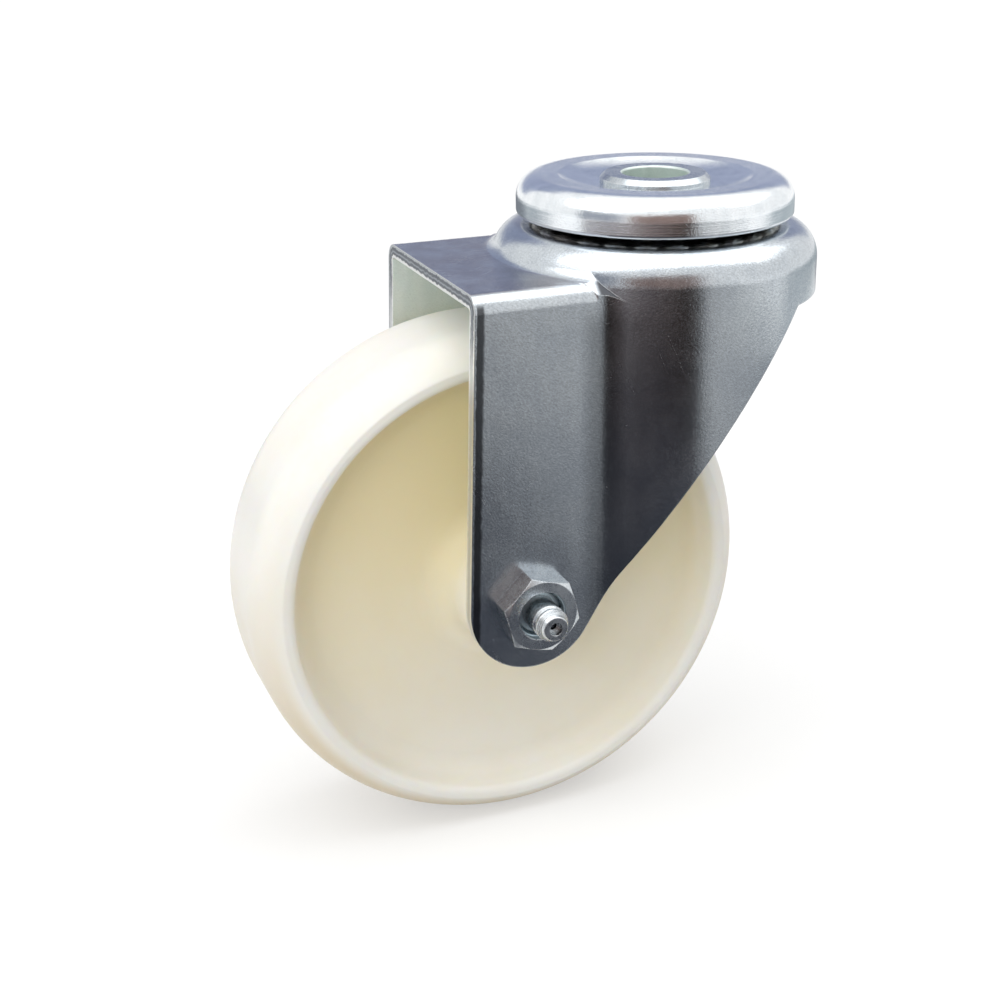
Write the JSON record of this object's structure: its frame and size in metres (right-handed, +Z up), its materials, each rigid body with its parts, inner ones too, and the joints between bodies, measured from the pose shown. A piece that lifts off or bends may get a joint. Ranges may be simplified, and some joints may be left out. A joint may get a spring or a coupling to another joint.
{
  "type": "bolt hole swivel castor",
  "caption": "Swivel castor with a pressed steel fork, a central bolt hole in a ball-race head and a one-piece dished nylon wheel on a greased roller bearing.",
  "frame": {"origin": "on the bolt hole's axis, at the king tube's top face, where the castor meets what it carries", "axes": "+Z up along the bolt hole, the wheel trails towards -X, the axle lies along Y with its nut and grease nipple at -Y"},
  "size_m": [0.147, 0.0837, 0.156],
  "materials": {
    "zinc_sheet": "blue-passivated zinc plating on pressed steel sheet, satin",
    "zinc_turned": "blue-passivated zinc plating on turned steel, fine turning marks",
    "race_steel": "hardened steel, bright and lightly greased",
    "bearing_steel": "polished hardened bearing steel",
    "nylon": "ivory moulded nylon, satin",
    "cage_plastic": "dark moulded nylon, satin"
  },
  "bodies": {
    "head": {"king_tube": "zinc_turned", "top_cap": "zinc_sheet", "lower_race_plate": "zinc_sheet"},
    "upper_race": {"upper_balls": "bearing_steel"},
    "lower_race": {"lower_balls": "bearing_steel"},
    "swivel_fork": {"fork": "zinc_sheet", "axle_bolt": "zinc_turned", "axle_nut": "zinc_turned", "grease_nipple": "zinc_turned", "spacer_sleeve": "race_steel", "left_thrust_washer": "race_steel", "right_thrust_washer": "race_steel", "check_spring": "race_steel"},
    "wheel": {"wheel": "nylon"},
    "roller_bearing": {"roller_cage": "cage_plastic", "roller_1": "bearing_steel", "roller_2": "bearing_steel", "roller_3": "bearing_steel", "roller_4": "bearing_steel", "roller_5": "bearing_steel", "roller_6": "bearing_steel", "roller_7": "bearing_steel", "roller_8": "bearing_steel", "roller_9": "bearing_steel", "roller_10": "bearing_steel"},
    "valve_ball": {"check_ball": "bearing_steel"}
  },
  "joints": [
    {"name": "swivel", "type": "hinge", "parent": "head", "child": "swivel_fork", "pos_m": [0, 0, 0], "axis": [0, 0, 1], "continuous": true},
    {"name": "wheel_spin", "type": "hinge", "parent": "swivel_fork", "child": "wheel", "pos_m": [-0.045, 0, -0.0935], "axis": [0, 1, 0], "continuous": true},
    {"name": "roller_travel", "type": "hinge", "parent": "swivel_fork", "child": "roller_bearing", "pos_m": [-0.045, 0, -0.0935], "axis": [0, 1, 0], "continuous": true},
    {"name": "upper_ball_travel", "type": "hinge", "parent": "head", "child": "upper_race", "pos_m": [0, 0, 0], "axis": [0, 0, 1], "continuous": true},
    {"name": "lower_ball_travel", "type": "hinge", "parent": "head", "child": "lower_race", "pos_m": [0, 0, 0], "axis": [0, 0, 1], "continuous": true},
    {"name": "valve_press", "type": "slide", "parent": "swivel_fork", "child": "valve_ball", "axis": [0, 1, 0], "range_m": [0, 0.0006], "stiffness_N_per_m": 15, "deforming": ["check_spring"]}
  ],
  "couplings": [
    {"joint": "roller_travel", "follows": "wheel_spin", "ratio": 0.6073},
    {"joint": "upper_ball_travel", "follows": "swivel", "ratio": 0.5},
    {"joint": "lower_ball_travel", "follows": "swivel", "ratio": 0.5}
  ]
}
